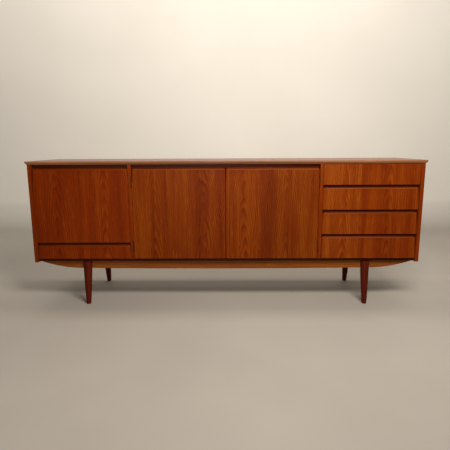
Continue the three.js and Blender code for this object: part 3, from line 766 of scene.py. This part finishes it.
# %% Make the case boards
def case_board(node_name, piece_name, veneer, lipping, cutters=()):
    """A veneered board with a strip of solid wood at its front edge."""
    low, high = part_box(node_name)
    board = block(piece_name, low, high)
    glue_y = low.y + LIPPING_DEPTH
    saw_through(board, 1, glue_y)
    ease_arrises(board)
    carve(board, cutters)
    wear(board, veneer, lipping, slot_of=lambda middle, normal: int(middle.y < glue_y - TINY))
    place_on(board, "case", "teak_veneer", node_name)


# The bottom board's front strip is coloured dark as painted shade under the fronts.
case_board("case_bottom", "bottom_board", inner_level, lipping_painted_shade)
case_board("bar_floor", "bar_floor_board", inner_level, lipping_level)
case_board("centre_shelf", "shelf_board", inner_level, lipping_level)
case_board("case_side_left", "side_board_left", side_veneer, lipping_upright, [pivot_hole("left")])
case_board("case_side_right", "side_board_right", side_veneer, lipping_upright)
for hand, side in HANDS.items():
    divider_low, divider_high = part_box("case_divider_" + hand)
    inner_face = divider_high.x if side < 0 else divider_low.x
    cutters = leaf_pockets(hand, side) + pin_holes(hand, inner_face)
    if side < 0:
        cutters.append(pivot_hole("right"))
    case_board("case_divider_" + hand, "divider_board_" + hand,
               inner_upright, lipping_upright, cutters)

# %% [markdown]
# ## Rails behind the finger gaps
# A rail stands a little behind each gap and stops the view into the case. Without it a gap
# would show black air or pale drawer sides. One plain block does for each, and it lies
# between one drawer box and the next, so it leaves room for the drawers and for fingertips.

# %% Make the rails
RAIL_THICK = 14 * MM
RAIL_AIR = 3 * MM


def make_rail(name, left, right, low_z, high_z):
    """A rail whose front lines up with the front edge of the bar floor."""
    front_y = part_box("bar_floor")[0].y
    rail = block(name, (left, front_y, low_z), (right, front_y + RAIL_THICK, high_z))
    wear(ease_arrises(rail), rail_teak)
    place_on(rail, "case", "solid_teak")


def across_board(node_name):
    """The two ends of a level board, which its rail lines up with."""
    low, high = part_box(node_name)
    return low.x, high.x


top_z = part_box("case_side_left")[1].z
make_rail("top_rail_left", *across_board("bar_floor"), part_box("flap_panel")[1].z, top_z)
make_rail("top_rail_centre", *across_board("centre_shelf"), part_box("door_left_panel")[1].z, top_z)
make_rail("bar_rail", *across_board("bar_floor"),
          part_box("bar_drawer_box")[1].z + RAIL_AIR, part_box("bar_floor")[0].z)
for number, (above, below) in enumerate(zip(DRAWERS[:3], DRAWERS[1:4])):
    make_rail(
        f"drawer_rail_{number + 1}",
        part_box(above + "_runner_left")[0].x,
        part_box(above + "_runner_right")[1].x,
        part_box(below + "_box")[1].z + RAIL_AIR,
        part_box(above + "_box")[0].z - RAIL_AIR,
    )

# %% [markdown]
# ## Fronts
# Flap, doors and drawer fronts are veneered boards without handles: fingers go into the gap
# over a front and pull on its top edge. That edge has a broad bevel, and the corners beside
# the gap are rounded. A modifier would treat every edge of the block alike, so both are
# edit-mode bevels, first of the corner edges and then of the front edge that runs over them.

# %% The front board
FINGER_BEVEL = 8 * MM
EDGE_SHADE_DEPTH = 4.5 * MM
SEAM_HALF = 0.4 * MM


def front_board(node_name, top_corners=0.0, low_corners=0.0, finger_edge=True, cuts=()):
    """A front shaped from its block; cuts are places across it where its faces part."""
    low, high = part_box(node_name)
    board = block(node_name.removesuffix("_panel") + "_board", low, high)
    for height, radius in ((high.z, top_corners), (low.z, low_corners)):
        if not radius:
            continue
        edit(board, edges=lambda a, b: (
            abs(a.z - height) < TINY and abs(b.z - height) < TINY
            and abs(a.x - b.x) < TINY and abs(a.y - b.y) > MM))
        bpy.ops.mesh.bevel(offset=radius, segments=8, affect="EDGES", clamp_overlap=True)
        done()
    if finger_edge:
        rim_low = high.z - top_corners - TINY
        edit(board, edges=lambda a, b: (
            abs(a.y - low.y) < TINY and abs(b.y - low.y) < TINY
            and min(a.z, b.z) > rim_low and abs(a.x - b.x) > TINY))
        bpy.ops.mesh.bevel(offset=FINGER_BEVEL, segments=1, affect="EDGES")
        done()
    for cut in cuts:
        saw_through(board, 0, cut)
    return ease_arrises(board, 1.2 * MM, 3, 28)


# %% [markdown]
# ### Veneer leaves
# A front wider than a leaf of veneer is covered by leaves slipped side by side, all cut from
# one log, so the same figure returns, a little shifted. One wide pattern would lack that, so
# each leaf has its own finish, with its heart line moved to the leaf, and a fine dark joint
# runs between two leaves. Fronts above one another were cut from one sheet, so their figure
# runs on from each to the next. The edges get the lipping finish, with painted shade on the
# top edge and the upper half of its finger bevel, and the back a plainer veneer.


# %% Lay the leaves
# The places of a front's finishes in its list.
LEVEL, UPRIGHT, BACK, JOINT, EDGE_SHADE, FIRST_LEAF = range(6)


def lay_leaves(node_name, leaves, seams, handled_x, strip=0.0, **shape):
    """leaves: tones, heart and shift of each, from the left, with the seams between them.

    A strip of solid teak may run up the left edge. handled_x: where hands pull."""
    low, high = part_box(node_name)
    joints = [*seams, low.x + strip] if strip else seams
    cuts = [joint + side * SEAM_HALF for joint in joints for side in (-1, 1)]
    board = front_board(node_name, cuts=cuts, **shape)
    # The top edge is parted here so that its upper part can take painted shade.
    saw_through(board, 2, high.z - EDGE_SHADE_DEPTH)
    label = node_name.removesuffix("_front").removesuffix("_panel").replace("_", " ")
    veneers = [
        wood(f"teak veneer, {label}, leaf {number + 1}", tones,
             heart=heart, offset=(0, shift, shift), heart_depth=0.035, taper=0.1,
             wander=0.06, gloss=FRONT_GLOSS, handled=(high.z, handled_x))
        for number, (tones, heart, shift) in enumerate(leaves)
    ]
    upright = meeting_strip if strip else lipping_upright
    finishes = (lipping_level, upright, backing, glue_line, finger_edge_shade, *veneers)

    def slot_of(middle, normal):
        # The top edge and the upper half of the finger bevel take the painted shade.
        if normal.z > PARTLY and middle.z > high.z - EDGE_SHADE_DEPTH:
            return EDGE_SHADE
        if normal.z > PARTLY or normal.z < -MOSTLY:
            return LEVEL
        if normal.y > MOSTLY:
            return BACK
        if any(abs(middle.x - joint) < SEAM_HALF for joint in joints):
            return JOINT
        if abs(normal.x) > MOSTLY or middle.x < low.x + strip:
            return UPRIGHT
        return FIRST_LEAF + sum(middle.x > seam for seam in seams)

    return wear(board, *finishes, slot_of=slot_of)


# %% [markdown]
# ### Drawer fronts and flap
# The left bay has a flap with a shallow drawer under it, and the right bay four drawers. The
# top drawer goes up under the top and is pulled by its lower edge, so it has no bevel and no
# round corners; all the others have both. Five separate recipes would drift apart, so one
# loop makes the drawer fronts and only takes other leaves for the left bay. The flap follows,
# with the holes for its two pivots.

# %% Make the drawer fronts and the flap
DRAWER_CORNER = 16 * MM
TOP_CORNER, LOW_CORNER = 9.5 * MM, 7 * MM
LEFT_BAY_SEAM, RIGHT_BAY_SEAM = -0.775, 0.715
LEFT_BAY_LEAVES = ((TEAK_DEEP, -0.90, 0.03), (TEAK_DEEP, -0.645, 0.0))
RIGHT_BAY_LEAVES = ((TEAK_WARM, 0.625, 0.55), (TEAK, 0.87, 0.31))
for drawer_name in DRAWERS:
    node_name = drawer_name + "_front"
    low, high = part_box(node_name)
    left_bay = high.x < 0
    board = lay_leaves(
        node_name,
        LEFT_BAY_LEAVES if left_bay else RIGHT_BAY_LEAVES,
        [LEFT_BAY_SEAM if left_bay else RIGHT_BAY_SEAM],
        (low.x + high.x) / 2,
        top_corners=0.0 if drawer_name == "drawer_1" else DRAWER_CORNER,
        finger_edge=drawer_name != "drawer_1",
    )
    place_on(board, drawer_name, "teak_veneer", node_name)

low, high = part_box("flap_panel")
flap = lay_leaves("flap_panel", LEFT_BAY_LEAVES, [LEFT_BAY_SEAM], (low.x + high.x) / 2,
                  top_corners=TOP_CORNER, low_corners=LOW_CORNER)
carve(flap, [pivot_hole(hand) for hand in HANDS])
place_on(flap, "flap", "teak_veneer", "flap_panel")

# %% [markdown]
# ### Doors
# Each door has a narrow leaf at its left and a wide one at its right. The right door also
# carries an upright strip of solid teak down its meeting edge. A door and its mirror image
# would be quicker, but neither the leaves nor the strip are mirrored on the cabinet, so each
# door is laid out from its own list. The pockets for the hinge leaves are carved last.

# %% Make the doors
NARROW_LEAF_SHARE = 0.365
MEETING_STRIP = 20 * MM
HAND_FROM_MEETING = 0.06
DOOR_LEAVES = {
    "left": ((TEAK_DOORS, -0.375, 0.21), (TEAK_DOORS, -0.115, 0.13)),
    "right": ((TEAK_DOORS, 0.10, 0.38), (TEAK_DUSKY, 0.32, 0.29)),
}
for hand, side in HANDS.items():
    node_name = f"door_{hand}_panel"
    low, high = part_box(node_name)
    seam = low.x + NARROW_LEAF_SHARE * (high.x - low.x)
    door = lay_leaves(node_name, DOOR_LEAVES[hand], [seam], side * HAND_FROM_MEETING,
                      strip=MEETING_STRIP if side > 0 else 0.0, top_corners=TOP_CORNER)
    carve(door, leaf_pockets(hand, -side))
    place_on(door, "door_" + hand, "teak_veneer", node_name)

# %% [markdown]
# ## Legs
# The legs are turned: round, fatter at the top, with a slight swell in the taper. A cone
# would give the taper but not the swell, and tilting it would tilt its ends. So a circle is
# filled at the foot and extruded upwards ring by ring, each ring moved along the rake and
# scaled to the taper, and the foot and the top stay level, as they are sawn after turning.
# The housing for the apron is carved out of the side that meets it.

# %% Turn the four legs
FOOT_RADIUS, LEG_TOP_RADIUS, SWELL = 12.5 * MM, 24.5 * MM, 1.2 * MM
FOOT_Y, LEG_TOP_Y = 0.205, 0.178
FOOT_ROUND = 1.5 * MM
LEG_SHOULDER = 197 * MM
LEG_RINGS = 12
HOUSING_PLAY = 0.3 * MM
PAST_LEG = 20 * MM


def make_leg(hand, end):
    """Grows one leg from its foot, then carves its housing."""
    outward = ENDS[end]
    low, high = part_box(f"leg_{end}_{hand}")
    middle_x = (low.x + high.x) / 2
    y, z, radius = outward * FOOT_Y, 0.0, FOOT_RADIUS - FOOT_ROUND
    put_everything_down()
    bpy.ops.mesh.primitive_circle_add(vertices=40, radius=radius, fill_type="NGON",
                                      location=(middle_x, y, z))
    leg = settle(f"turned_leg_{end}_{hand}")
    edit_all(leg)
    for height in [FOOT_ROUND] + [high.z * (ring + 1) / LEG_RINGS for ring in range(LEG_RINGS)]:
        share = height / high.z
        taper = FOOT_RADIUS + (LEG_TOP_RADIUS - FOOT_RADIUS) * share
        next_radius = taper + SWELL * math.sin(math.pi * share)
        next_y = outward * (FOOT_Y + (LEG_TOP_Y - FOOT_Y) * share)
        step = (0, next_y - y, height - z)
        bpy.ops.mesh.extrude_region_move(TRANSFORM_OT_translate={"value": step})
        grow = next_radius / radius
        bpy.ops.transform.resize(value=(grow, grow, 1), center_override=(middle_x, next_y, height))
        y, z, radius = next_y, height, next_radius
    bpy.ops.mesh.select_all(action="SELECT")
    bpy.ops.mesh.normals_make_consistent(inside=False)
    done()
    apron_low, apron_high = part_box("apron_" + end)
    face_y = (apron_low.y if end == "front" else apron_high.y) + outward * HOUSING_PLAY
    housing = sorted((face_y, face_y - 3 * outward * PAST_LEG))
    carve(leg, [block(
        "housing",
        (low.x - PAST_LEG, housing[0], LEG_SHOULDER),
        (high.x + PAST_LEG, housing[1], high.z + PAST_LEG),
    )])
    wear(leg, leg_teak)
    place_on(leg, "case", "solid_teak", f"leg_{end}_{hand}")


for hand in HANDS:
    for end in ENDS:
        make_leg(hand, end)

# %% [markdown]
# ## Small things
# Screws, shelf pins, catches and glue blocks are what a maker would look for when a door is
# open or the cabinet is turned round. A dark dot in a material could stand for a screw, but
# it would have no slot to catch the light. One slotted screw is modelled and copied; each
# copy gets its own mesh, turned and moved to its place.

# %% A slotted screw head
HEAD_RADIUS, HEAD_SUNK, HEAD_PROUD = 2.4 * MM, 0.6 * MM, 0.12 * MM
SLOT_HALF, SLOT_DEPTH, PAST_HEAD = 0.35 * MM, 0.25 * MM, 3 * MM
DRIVEN_TURN = 40


def make_screw_head():
    """The head faces up, with a slot across it."""
    head = bar("screw_head", (0, 0, -HEAD_SUNK), (0, 0, HEAD_PROUD), HEAD_RADIUS, 20)
    ease_arrises(head, 0.08 * MM, 1)
    slot = block("slot", (-PAST_HEAD, -SLOT_HALF, -SLOT_DEPTH), (PAST_HEAD, SLOT_HALF, MM))
    return carve(head, [slot])


screw_master = make_screw_head()


def put_screw(name, place, facing, body, finish, size=1.0):
    """Copies the head to a place; each screw was driven to a different turn, by its place."""
    pick_up(screw_master)
    bpy.ops.object.duplicate()
    screw = bpy.context.active_object
    driven_to = Matrix.Rotation(DRIVEN_TURN * (place[0] + place[2]), 4, "Z")
    turned_out = Vector(facing).to_track_quat("Z", "Y").to_matrix().to_4x4()
    screw.rotation_euler = (turned_out @ driven_to).to_euler()
    screw.location = place
    screw.scale = (size, size, 1)
    settle(name)
    wear(screw, finish)
    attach(screw, body)


# %% [markdown]
# ### Screws in the brass
# Three screws hold each hinge leaf, and two hold the stay's bracket. Their places are worked
# out from the hinge's axis and the bracket's box, so they sit on the metal at every hinge,
# and each rides with the leaf that it holds.

# %% Screws in the hinges and the bracket
HINGE_SCREW_STEP = 20 * MM
HINGE_SCREW_BEHIND = 11 * MM
HINGE_SCREW_SIZE = 0.9
for hand, side in HANDS.items():
    leaves = (("fixed", "case", side), ("moving", "door_" + hand, -side))
    for level in ("lower", "upper"):
        axis, low_z, high_z = hinge_axis(hand, level)
        for leaf_name, body, toward in leaves:
            for step in (-1, 0, 1):
                reach = Vector((toward * LEAF_NEAR, HINGE_SCREW_BEHIND, step * HINGE_SCREW_STEP))
                put_screw(f"screw_{hand}_{level}_{leaf_name}_{step + 2}", axis + reach,
                          (-toward, 0, 0), body, browned_brass, HINGE_SCREW_SIZE)

BRACKET_THICK = 2 * MM
BRACKET_INSET = 8 * MM
bracket_low, bracket_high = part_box("flap_stay_bracket")
bracket_heights = {"low": bracket_low.z + BRACKET_INSET, "high": bracket_high.z - BRACKET_INSET}
for name, height in bracket_heights.items():
    place = (bracket_high.x - BRACKET_INSET, bracket_low.y + BRACKET_THICK, height)
    put_screw("screw_bracket_" + name, place, (0, 1, 0), "flap", brass)
print("screws in each hinge leaf: 3, in the bracket:", len(bracket_heights))

# %% [markdown]
# ### Screws in the back
# The back is screwed on all round, close to its edges. The screws could be set out by hand,
# but even steps along each edge are how a maker would mark them, so loops do the same.

# %% Screws in the back panel
EDGE_INSET = 12 * MM
BACK_SCREW_SIZE = 1.3
BACK_COLUMNS, BACK_ROWS = 12, 4
across = back_high.x - back_low.x - 2 * EDGE_INSET
tall = back_high.z - back_low.z - 2 * EDGE_INSET
back_places = {}
for column in range(BACK_COLUMNS):
    x = back_low.x + EDGE_INSET + across * column / (BACK_COLUMNS - 1)
    back_places[f"top_{column + 1}"] = (x, back_high.y, back_high.z - EDGE_INSET)
    back_places[f"bottom_{column + 1}"] = (x, back_high.y, back_low.z + EDGE_INSET)
for row in range(1, BACK_ROWS):
    z = back_low.z + EDGE_INSET + tall * row / BACK_ROWS
    for hand, side in HANDS.items():
        back_places[f"{hand}_{row}"] = (side * (back_high.x - EDGE_INSET), back_high.y, z)
for name, place in back_places.items():
    put_screw("back_screw_" + name, place, (0, 1, 0), "case", steel, BACK_SCREW_SIZE)
bpy.data.objects.remove(screw_master)
print("screws in the back:", len(back_places))

# %% [markdown]
# ### Shelf pins and catches
# The shelf lies on four brass pins that stand half out of the dividers. Behind each door's
# lower meeting corner stands a latch block. Its mouth could be cut with a Boolean, but an
# inset and an extrusion sink it with cleaner faces, and two thin steel tongues stand in it.

# %% Shelf pins
for hand, side in HANDS.items():
    divider_low, divider_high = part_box("case_divider_" + hand)
    face = divider_high.x if side < 0 else divider_low.x
    for row, y in PIN_ROWS.items():
        ends = [(face + reach * PIN_HALF, y, PIN_HEIGHT) for reach in (-1, 1)]
        pin = bar(f"shelf_pin_{hand}_{row}", *ends, PIN_RADIUS, 20)
        ease_arrises(pin, 0.4 * MM)
        wear(pin, brass)
        place_on(pin, "case", "brass_hardware")


# %% Door catches
MOUTH_RIM, MOUTH_DEPTH = 3.5 * MM, 3 * MM
TONGUE_LIFT, TONGUE_INSET, TONGUE_SUNK = 3.4 * MM, 6 * MM, 0.3 * MM


def make_catch(hand):
    """A latch block with a sunk mouth and two steel tongues in it."""
    low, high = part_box("door_catch_" + hand)
    body = block("catch_body_" + hand, low, high)
    edit(body, faces=lambda middle, normal: normal.y < -SQUARELY)
    bpy.ops.mesh.inset(thickness=MOUTH_RIM, depth=0)
    bpy.ops.mesh.extrude_region_move(TRANSFORM_OT_translate={"value": (0, MOUTH_DEPTH, 0)})
    done()
    ease_arrises(body, 0.6 * MM)
    wear(body, brass)
    place_on(body, "case", "brass_hardware", "door_catch_" + hand)
    middle_z = (low.z + high.z) / 2
    for name, lift in (("low", -TONGUE_LIFT), ("high", TONGUE_LIFT)):
        tongue = block(
            f"catch_tongue_{hand}_{name}",
            (low.x + TONGUE_INSET, low.y + TONGUE_SUNK, middle_z + lift - MM),
            (high.x - TONGUE_INSET, low.y + TONGUE_INSET, middle_z + lift + MM),
        )
        ease_arrises(tongue, 0.3 * MM)
        wear(tongue, steel)
        place_on(tongue, "case", "brass_hardware")


for hand in HANDS:
    make_catch(hand)

# %% [markdown]
# ### Glue blocks
# Three-cornered blocks hold the aprons square to the case's underside. A primitive prism
# would have to be turned to fit, so a block is made in its place and one of its long arrises
# is bevelled off.

# %% Glue blocks behind the aprons
GLUE_BLOCK = 18 * MM
GLUE_BLOCK_HALF = 30 * MM
GLUE_BLOCK_CUT = 0.8 * GLUE_BLOCK
GLUE_BLOCK_PLACES = (-0.45, -0.15, 0.15, 0.45)


def make_glue_block(name, end, x):
    """The arris away from both glued surfaces is bevelled off."""
    outward = ENDS[end]
    apron_low, apron_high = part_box("apron_" + end)
    glued_y = apron_high.y if end == "front" else apron_low.y
    free_y = glued_y - outward * GLUE_BLOCK
    made = block(
        name,
        (x - GLUE_BLOCK_HALF, min(glued_y, free_y), apron_high.z - GLUE_BLOCK),
        (x + GLUE_BLOCK_HALF, max(glued_y, free_y), apron_high.z),
    )
    edit(made, edges=lambda a, b: (
        abs(a.y - free_y) < TINY and abs(b.y - free_y) < TINY
        and max(a.z, b.z) < apron_high.z - GLUE_BLOCK / 2))
    bpy.ops.mesh.bevel(offset=GLUE_BLOCK_CUT, segments=1, affect="EDGES")
    done()
    ease_arrises(made, 0.5 * MM)
    wear(made, rail_wood)
    place_on(made, "case", "solid_teak")


for end in ENDS:
    for number, x in enumerate(GLUE_BLOCK_PLACES):
        make_glue_block(f"glue_block_{end}_{number + 1}", end, x)

# %% [markdown]
# ## Floor and wall
# A plain pale floor runs up into a pale wall through a broad curve, as a studio's paper does,
# so no line crosses behind the cabinet. It is one plane with its far edge extruded upwards,
# and the paint changes from the floor's tone to the wall's with height.

# %% Floor and wall
FLOOR_WIDTH, FLOOR_DEPTH, WALL_HEIGHT = 14, 10, 5
WALL_Y = 2.0
COVE = 0.25
COVE_SMOOTH_ANGLE = 60
FLOOR_TONES = ((0.35, 0.318, 0.282), (0.385, 0.35, 0.312))
WALL_TONES = ((0.78, 0.74, 0.68), (0.82, 0.78, 0.72))
FLOOR_TONE_TO, WALL_TONE_FROM = 0.02, 0.3
PAINT_DULLNESS = 0.6


def make_room():
    made, tree, shader = new_finish("pale studio paint")
    coordinates = add_node(tree, "ShaderNodeTexCoord").outputs["Object"]
    clouds = noise(tree, coordinates, scale=1.5, detail=3.0)
    floor, wall = (ramp(tree, clouds, (0.3, darker), (0.7, lighter))
                   for darker, lighter in (FLOOR_TONES, WALL_TONES))
    split = add_node(tree, "ShaderNodeSeparateXYZ")
    feed(tree, split, 0, coordinates)
    height = between(tree, split.outputs["Z"], FLOOR_TONE_TO, WALL_TONE_FROM)
    feed(tree, shader, "Base Color", mixed(tree, height, floor, wall))
    feed(tree, shader, "Roughness", maths(tree, "MULTIPLY_ADD", clouds, 0.1, PAINT_DULLNESS))
    put_everything_down()
    bpy.ops.mesh.primitive_plane_add(size=1, location=(0, WALL_Y - FLOOR_DEPTH / 2, 0))
    bpy.context.active_object.scale = (FLOOR_WIDTH, FLOOR_DEPTH, 1)
    room = settle("floor_and_wall")
    edit(room, edges=lambda a, b: min(a.y, b.y) > WALL_Y - TINY)
    bpy.ops.mesh.extrude_region_move(TRANSFORM_OT_translate={"value": (0, 0, WALL_HEIGHT)})
    done()
    edit(room, edges=lambda a, b: max(a.z, b.z) < TINY and min(a.y, b.y) > WALL_Y - TINY)
    bpy.ops.mesh.bevel(offset=COVE, segments=10, affect="EDGES")
    done()
    wear(room, made)
    pick_up(room)
    bpy.ops.object.shade_smooth_by_angle(angle=math.radians(COVE_SMOOTH_ANGLE))


make_room()

# %% [markdown]
# ## Lights
# One soft light stands high in front and to the right, so the right end is brighter than the
# left, the fronts darken towards the floor, and only the lower part of the apron comes out of
# the shadow of the case. A weak light near the camera opens up the finger gaps, and a third
# washes the wall. A picture of a room as the world would add reflections of things that
# aren't there, so the world is only a faint warm grey.

# %% Lights
LAMP_TINT = (1.0, 0.94, 0.85)
WORLD_TINT, WORLD_STRENGTH = (1.0, 0.96, 0.9, 1), 0.12


def area_light(name, place, aim, size, watts):
    data = bpy.data.lights.new(name, "AREA")
    data.shape = "RECTANGLE"
    data.size, data.size_y = size
    data.energy = watts
    data.color = LAMP_TINT
    lamp = bpy.data.objects.new(name, data)
    bpy.context.scene.collection.objects.link(lamp)
    lamp.location = place
    lamp.rotation_euler = (Vector(aim) - Vector(place)).to_track_quat("-Z", "Y").to_euler()


area_light("key", (0.6, -1.75, 2.05), (0.35, -0.2, 1.75), (1.0, 0.6), 84)
area_light("fill", (-0.2, -2.6, 0.95), (0.0, 0, 0.6), (0.6, 0.4), 12)
area_light("wall wash", (0, 0.4, 3.8), (0, 2.1, 1.0), (6.0, 1.0), 84)
world = bpy.data.worlds.new("studio")
world.use_nodes = True
background = world.node_tree.nodes["Background"]
background.inputs["Color"].default_value = WORLD_TINT
background.inputs["Strength"].default_value = WORLD_STRENGTH
bpy.context.scene.world = world
bpy.context.scene.view_settings.view_transform = "Standard"
print("lights:", len(bpy.data.lights))

# %% [markdown]
# ## Camera
# The camera stands a little above the top of the cabinet, almost square to its front, and
# looks slightly down. A track-to constraint would aim it, but its roll would then be fixed
# level, so its place and three angles are set instead.

# %% Camera
SENSOR_WIDTH = 36


def make_camera(place, yaw, pitch, roll, lens):
    """Angles in degrees: yaw to the left, pitch down, roll anticlockwise."""
    data = bpy.data.cameras.new("camera")
    data.sensor_width = SENSOR_WIDTH
    data.lens = lens
    camera = bpy.data.objects.new("camera", data)
    bpy.context.scene.collection.objects.link(camera)
    turned = Matrix.Rotation(math.radians(yaw), 4, "Z")
    tipped = Matrix.Rotation(math.radians(90 - pitch), 4, "X")
    rolled = Matrix.Rotation(math.radians(roll), 4, "Z")
    camera.matrix_world = Matrix.Translation(place) @ turned @ tipped @ rolled
    bpy.context.scene.camera = camera
    print("camera at", place, "with a", lens, "mm lens")


make_camera(place=(0.0188, -2.4543, 0.8566), yaw=0.567, pitch=10.438, roll=-0.264, lens=34.0)
